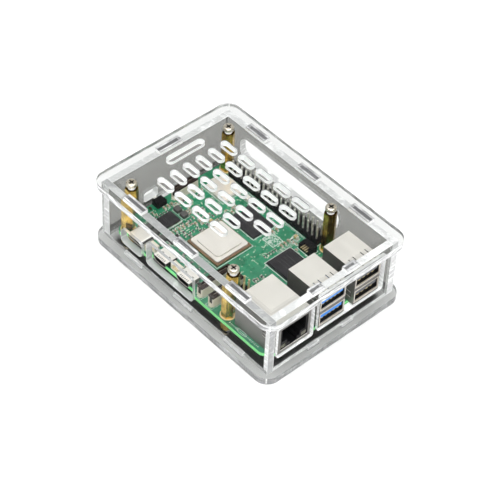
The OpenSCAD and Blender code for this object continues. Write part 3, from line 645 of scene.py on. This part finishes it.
def make_small_parts():
    """The crowd of tiny parts round the power chip, the processor and the sockets."""
    grid, clearance, lift = 0.35, 0.25, 0.02
    draw = random.Random(11)
    bodies = {slot: bmesh.new() for slot in ("capacitor_tan", "resistor_black", "inductor_grey")}
    caps, ticks = bmesh.new(), bmesh.new()
    taken = list(FOOTPRINTS)
    for x0, y0, x1, y1, tries in CROWDS:
        for _ in range(tries):
            x = round(draw.uniform(x0, x1) / grid) * grid
            y = round(draw.uniform(y0, y1) / grid) * grid
            turned = draw.random() < 0.5
            slot, length, width, height = draw.choice(SMALL_PARTS)
            if not is_free(x, y, clearance + length / 2, taken):
                continue
            half_x, half_y = (width / 2, length / 2) if turned else (length / 2, width / 2)
            spot = (x - half_x, y - half_y, x + half_x, y + half_y)
            taken.append(spot)
            add_bar(bodies[slot], x, y, length, width, height, lift, turned)
            add_caps(caps, *spot, height, lift)
            if draw.random() < 0.5:
                add_bar(ticks, x, y - half_y - 0.22, 2 * half_x, 0.09, LINE_H)
    for slot, bm in bodies.items():
        make_piece("small_parts_" + slot, bm, slot, round_by=0.05)
    make_piece("small_part_ends", caps, "header_pins", round_by=0.04)
    make_piece("part_ticks", ticks, "cream_plastic", SILK)


def make_underside_parts():
    """Tiny parts under the processor, on the board's lower face."""
    first, step, counts = (25.5, 18.5), (1.9, 2.3), (9, 7)
    length, width, height = 1.0, 0.5, 0.5
    empty = 0.35
    draw = random.Random(5)
    body, caps = bmesh.new(), bmesh.new()
    for i in range(counts[0]):
        for j in range(counts[1]):
            if draw.random() < empty:
                continue
            x, y = first[0] + i * step[0], first[1] + j * step[1]
            z = -BOARD_T - height
            add_bar(body, x, y, length, width, height, z)
            add_caps(caps, x - length / 2, y - width / 2, x + length / 2, y + width / 2, height, z)
    make_piece("underside_parts", body, "capacitor_tan", round_by=0.05)
    make_piece("underside_part_ends", caps, "header_pins", round_by=0.04)


def make_traces():
    """Bundles of copper traces under the mask, the vias at their ends, and loose vias."""
    bundles, loose_vias = 95, 260
    pitch, width, edge, via = 0.42, 0.17, 1.5, 0.24
    draw = random.Random(23)
    lines, vias = bmesh.new(), bmesh.new()
    for _ in range(bundles):
        x, y = draw.uniform(8, 66), draw.uniform(7, 49)
        turn = draw.choice((0, 1, 2, 3)) * math.pi / 2
        first, second = draw.uniform(1.5, 7), draw.uniform(1, 5)
        bend = draw.choice((-1, 1)) * math.pi / 4
        along = Vector((math.cos(turn), math.sin(turn)))
        for k in range(draw.randint(1, 6)):
            offset = k * pitch
            start = Vector((x, y)) + Vector((-along.y, along.x)) * offset
            corner = start + along * (first - offset * math.tan(bend / 2))
            end = corner + Vector((math.cos(turn + bend), math.sin(turn + bend))) * second
            if all(edge < p.x < BOARD_L - edge and edge < p.y < BOARD_W - edge for p in (start, corner, end)):
                add_line(lines, (start, corner, end), width, FILM_H)
                for p in (start, end):
                    if draw.random() < 0.6:
                        add_disc(vias, on_board(p.x, p.y), via, LINE_H, sides=10)
    for _ in range(loose_vias):
        x, y = draw.uniform(2, 68), draw.uniform(2, 54)
        add_disc(vias, on_board(x, y), draw.choice((0.16, 0.2, 0.26)), LINE_H, sides=10)
    make_piece("traces", lines, "board_green", TRACE)
    make_piece("vias", vias, "header_pins", VIA)


def add_ticks(bm, draw, x, y, length, size, turned=False, z=0.0):
    """A row of short strokes where a legend stands. It spells nothing."""
    thin = size * 0.16
    at = 0.0
    while at < length:
        stroke = draw.uniform(0.5, 1.0) * size
        px, py = (x, y + at) if turned else (x + at, y)
        kind = draw.random()
        if not 0.4 <= kind < 0.75:
            add_bar(bm, px, py, thin, stroke, LINE_H, z, turned)
        if kind >= 0.4:
            add_bar(bm, px, py, size * (0.55 if kind < 0.75 else 0.5), thin, LINE_H, z, turned)
        at += size * draw.uniform(0.6, 0.95)


# Nodes with a printed outline, and its gap round them
OUTLINED = (("pin_header_base", 0.35), ("poe_header_base", 0.4), ("processor_substrate", 0.5),
            ("wireless_shield", 0.4), ("power_chip", 0.5), ("fan_socket", 0.3), ("memory_chip", 0.3),
            ("io_chip", 0.4))
# Nodes with a thin outline round each of their solids, and its gap
OUTLINED_SOLIDS = (("camera_sockets", 0.35), ("crystals", 0.3), ("small_chips", 0.3), ("inductors", 0.25),
                   ("bulk_capacitors", 0.45))
# Rows of strokes: x, y, length, size, and whether the row runs along Y
LEGENDS = ((9, 49.1, 44, 0.7, False), (65, 1.3, 16, 0.9, False), (24, 12.6, 15, 0.7, False),
           (3.2, 8.6, 6, 0.6, True), (28, 34.6, 9, 0.9, False), (28, 36, 12, 0.7, False),
           (12, 34.6, 7, 0.6, False), (53.6, 26, 8, 0.6, True), (66.8, 8, 8, 0.6, True),
           (6, 24.5, 9, 0.55, True), (62, 36, 6, 0.6, True))


def make_silkscreen():
    """White outlines and generic marks on the board."""
    draw = random.Random(7)
    bm = bmesh.new()
    for node, gap in OUTLINED:
        x0, y0, x1, y1 = board_box(*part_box(node))
        add_frame(bm, x0 - gap, y0 - gap, x1 + gap, y1 + gap, LINE_W, LINE_H)
    for node, gap in OUTLINED_SOLIDS:
        for low, high in islands(node):
            x0, y0, x1, y1 = board_box(low, high)
            add_frame(bm, x0 - gap, y0 - gap, x1 + gap, y1 + gap, THIN_W, LINE_H)
    # A patch of dots in a box, between the memory and the sockets
    add_frame(bm, 41.8, 36.8, 47.8, 42, 0.25, LINE_H)
    for i in range(9):
        for j in range(8):
            if draw.random() < 0.55:
                add_bar(bm, 42.5 + i * 0.58, 37.5 + j * 0.54, 0.42, 0.4, LINE_H)
    # A corner and a pale strip of strokes by the input and output chip
    add_line(bm, ((48.8, 48.9), (48.8, 44.4), (53, 44.4)), LINE_W, LINE_H)
    for k in range(4):
        add_ticks(bm, draw, 50.4 + 0.55 * k, 36.4, 10.4, 0.5, turned=True)
    for x, y, length, size, turned in LEGENDS:
        add_ticks(bm, draw, x, y, length, size, turned)
    # An oval outline by the ports' edge of the board
    turns = [2 * math.pi * i / 24 for i in range(25)]
    add_line(bm, [(71.5 + 2.6 * math.cos(t), 1.35 + 0.75 * math.sin(t)) for t in turns], 0.12, LINE_H)
    make_piece("silkscreen", bm, "cream_plastic", SILK)


def make_chip_marks():
    """Pale edge lines, corner dots and generic legends on the chips' tops."""
    draw = random.Random(3)
    white, faint = bmesh.new(), bmesh.new()
    for node, rows in (("io_chip", 4), ("memory_chip", 4), ("power_chip", 2)):
        low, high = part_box(node)
        x0, y0, x1, y1 = board_box(low, high)
        z = (high.z - BOARD_TOP) / MM
        for k in range(rows):
            add_ticks(faint, draw, x0 + 0.22 * (x1 - x0), y0 + (0.3 + 0.12 * k) * (y1 - y0),
                      0.5 * (x1 - x0), 0.045 * (x1 - x0), z=z)
        add_disc(faint, Vector((low.x, high.y, high.z)) + Vector((0.9, -0.9, 0)) * MM, 0.25, LINE_H)
    low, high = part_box("io_chip")
    x0, y0, x1, y1 = board_box(low, high)
    z = (high.z - BOARD_TOP) / MM
    add_line(white, ((x0 + 0.35, y0 + 0.5), (x0 + 0.35, y1 - 0.5)), 0.12, LINE_H, z)
    add_line(white, ((x0 + 0.8, y1 - 0.35), (x1 - 0.5, y1 - 0.35)), 0.12, LINE_H, z)
    make_piece("chip_outlines", white, "cream_plastic", SILK)
    make_piece("chip_legends", faint, "inductor_grey", FAINT)


def make_chip_feet():
    """Tinned lands round the leadless chips."""
    pitch, corner = 0.5, 0.6
    bm = bmesh.new()
    for node in ("power_chip", "small_chips"):
        for low, high in islands(node):
            x0, y0, x1, y1 = board_box(low, high)
            for start, end, along_x in ((x0, x1, True), (y0, y1, False)):
                count = int((end - start - corner) / pitch)
                for i in range(count + 1):
                    at = (start + end) / 2 + (i - count / 2) * pitch
                    for edge in ((y0, y1) if along_x else (x0, x1)):
                        x, y = (at, edge) if along_x else (edge, at)
                        add_bar(bm, x, y, 0.5, 0.24, 0.16, turned=along_x)
    make_piece("chip_feet", bm, "header_pins")


def make_ribbon_contacts():
    """Rows of tinned feet along both sides of the ribbon sockets, and blades in their slots."""
    pitch, ends, foot_out = 0.5, 3.4, 0.3
    blade_off, blade_foot, blade_short = 0.75, 1.1, 1.4
    feet, blades = bmesh.new(), bmesh.new()
    for node in ("camera_sockets", "expansion_socket"):
        for low, high in islands(node):
            x0, y0, x1, y1 = board_box(low, high)
            height = (high.z - BOARD_TOP) / MM
            count = int((y1 - y0 - ends) / pitch)
            for i in range(count + 1):
                y = (y0 + y1) / 2 + (i - count / 2) * pitch
                for x in (x0 - foot_out, x1 + foot_out):
                    add_bar(feet, x, y, 0.7, 0.22, 0.16)
                add_bar(blades, (x0 + x1) / 2 - blade_off, y, 0.12, 0.22, height - blade_short, blade_foot)
    make_piece("ribbon_feet", feet, "header_pins")
    make_piece("ribbon_blades", blades, "gold_contacts")


def make_usb_lips():
    """Rolled lips round the USB mouths."""
    half, bar, proud = 6.35 * MM, 0.4 * MM, 0.22 * MM
    mouths = ((1.1, 7.05), (8.95, 14.95))
    lips = bmesh.new()
    for node in ("usb3_shell", "usb2_shell"):
        low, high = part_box(node)
        middle = (low.y + high.y) / 2
        back, front = high.x - bar, high.x + proud
        for z0, z1 in mouths:
            bottom, top = BOARD_TOP + z0 * MM, BOARD_TOP + z1 * MM
            for z in (bottom, top - bar):
                add_block(lips, Vector((back, middle - half, z)), Vector((front, middle + half, z + bar)))
            for s in (-1, 1):
                edge = middle + s * (half - bar / 2)
                add_block(lips, Vector((back, edge - bar / 2, bottom)), Vector((front, edge + bar / 2, top)))
    make_piece("usb_lips", lips, "socket_steel", LIP, round_by=0.12)


def make_network_fingers():
    """Sprung fingers on the sides of the network socket."""
    length, thick, height, foot, back_from_front = 4.4, 0.24, 2.2, 4.6, 4.4
    fingers = bmesh.new()
    x0, y0, x1, y1 = board_box(*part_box("ethernet_shell"))
    for s, y in ((-1, y0), (1, y1)):
        add_bar(fingers, x1 - back_from_front, y + s * thick / 2, length, thick, height, foot)
    make_piece("network_socket_fingers", fingers, "socket_steel", round_by=0.1)


def make_video_slot_shade():
    """Painted shade: flat dark marks where the slots in the tops of the small video sockets show their dark
    insides.
    """
    pitch = 0.85
    slots = bmesh.new()
    for low, high in islands("micro_hdmi_shells"):
        x0, y0, x1, y1 = board_box(low, high)
        middle = (x0 + x1) / 2
        top = (high.z - BOARD_TOP) / MM
        for k in range(6):
            add_bar(slots, middle + (k - 2.5) * pitch, y0 + 0.75, 0.28, 0.9, LINE_H, top)
        for s in (-1, 1):
            add_bar(slots, middle + s * 2.1, y0 + 4.2, 0.9, 1.6, LINE_H, top)
    make_piece("video_socket_slot_shade", slots, "black_plastic")


make_pads()
make_solder()
make_end_caps()
make_small_parts()
make_underside_parts()
make_traces()
make_silkscreen()
make_chip_marks()
make_chip_feet()
make_ribbon_contacts()
make_usb_lips()
make_network_fingers()
make_video_slot_shade()

# The CAD pieces whose sharp edges are rounded, and by how much
ROUNDED = {"processor_lid": 0.35, "wireless_shield": 0.25, "io_chip": 0.08, "memory_chip": 0.08,
           "power_chip": 0.06, "pin_header_base": 0.1, "poe_header_base": 0.1, "pin_header_pins": 0.14,
           "poe_header_pins": 0.14, "inductors": 0.15, "crystals": 0.08, "small_chips": 0.05,
           "chip_resistors": 0.04, "ceramic_capacitors": 0.06, "bulk_capacitors": 0.08,
           "serial_socket": 0.08, "battery_socket": 0.08, "fan_socket": 0.08,
           "camera_latch_1": 0.08, "camera_latch_2": 0.08, "expansion_latch": 0.08,
           "processor_substrate": 0.05, "usb3_tongues": 0.12, "usb2_tongues": 0.12,
           "power_button_body": 0.06, "status_light": 0.05}
for node, width in ROUNDED.items():
    soften(NODES[node], width)


# ---------------------------------------------------------------- camera, light and floor


LIT_POINT = Vector((0, 0, 0.015))


def aim(obj, target, roll=0.0):
    """Turns obj's -Z towards target, then rolls it about that line."""
    turn = (target - obj.location).to_track_quat("-Z", "Y")
    obj.rotation_euler = (turn.to_matrix() @ Matrix.Rotation(roll, 3, "Z")).to_euler()


def make_camera():
    """A long lens that looks down on the corner of the case by the network socket."""
    azimuth, elevation, roll = math.radians(45.888), math.radians(45.886), math.radians(2.997)
    distance = 0.68652
    target = (CAD_LOW + CAD_HIGH) / 2 + Vector((2.98, -2.87, -0.45)) * MM
    back = Vector((math.sin(azimuth) * math.cos(elevation), -math.cos(azimuth) * math.cos(elevation),
                   math.sin(elevation)))
    data = bpy.data.cameras.new("camera")
    data.sensor_width = 36
    data.lens = 132.1
    data.clip_start = 0.05
    data.clip_end = 20
    camera = bpy.data.objects.new("camera", data)
    bpy.context.scene.collection.objects.link(camera)
    camera.location = target + back * distance
    aim(camera, target, roll)
    bpy.context.scene.camera = camera


def softbox(name, place, size, power):
    """A rectangular lamp that points at the object's middle."""
    data = bpy.data.lights.new(name, "AREA")
    data.shape = "RECTANGLE"
    data.size, data.size_y = size
    data.energy = power
    light = bpy.data.objects.new(name, data)
    bpy.context.scene.collection.objects.link(light)
    light.location = Vector(place)
    aim(light, LIT_POINT)


def make_floor():
    """Pale paper under the object."""
    bm = bmesh.new()
    bmesh.ops.create_grid(bm, x_segments=2, y_segments=2, size=1.5)
    mesh = bpy.data.meshes.new("floor")
    bm.to_mesh(mesh)
    bm.free()
    floor = bpy.data.objects.new("floor", mesh)
    bpy.context.scene.collection.objects.link(floor)
    g = Graph("floor_paper")
    fibre = g.noise(60, 3)
    colour = g.blend(g.spread(fibre, 0, 1), (0.93, 0.93, 0.93), (0.95, 0.95, 0.95))
    set_material(floor, g.finish(g.principled(Base_Color=colour, Roughness=0.9)))


def make_world():
    """A soft sky that is dim near the horizon and brighter overhead."""
    horizon, overhead, overhead_z = 0.04, 0.5, 0.9
    world = bpy.data.worlds.new("studio")
    world.use_nodes = True
    tree = world.node_tree
    sky = tree.nodes["Background"]
    coord = tree.nodes.new("ShaderNodeTexCoord")
    split = tree.nodes.new("ShaderNodeSeparateXYZ")
    height = tree.nodes.new("ShaderNodeMapRange")
    height.inputs["From Min"].default_value = 0.0
    height.inputs["From Max"].default_value = overhead_z
    height.inputs["To Min"].default_value = horizon
    height.inputs["To Max"].default_value = overhead
    tree.links.new(coord.outputs["Generated"], split.inputs[0])
    tree.links.new(split.outputs["Z"], height.inputs["Value"])
    tree.links.new(height.outputs["Result"], sky.inputs["Strength"])
    sky.inputs["Color"].default_value = (1, 1, 1, 1)
    bpy.context.scene.world = world
    bpy.context.scene.view_settings.view_transform = "Standard"


make_camera()
softbox("top_light", (0.1, -0.1, 0.9), (0.9, 0.9), 8.5)
softbox("key_light", (0.46, -0.46, 0.78), (0.45, 0.45), 4)
make_floor()
make_world()
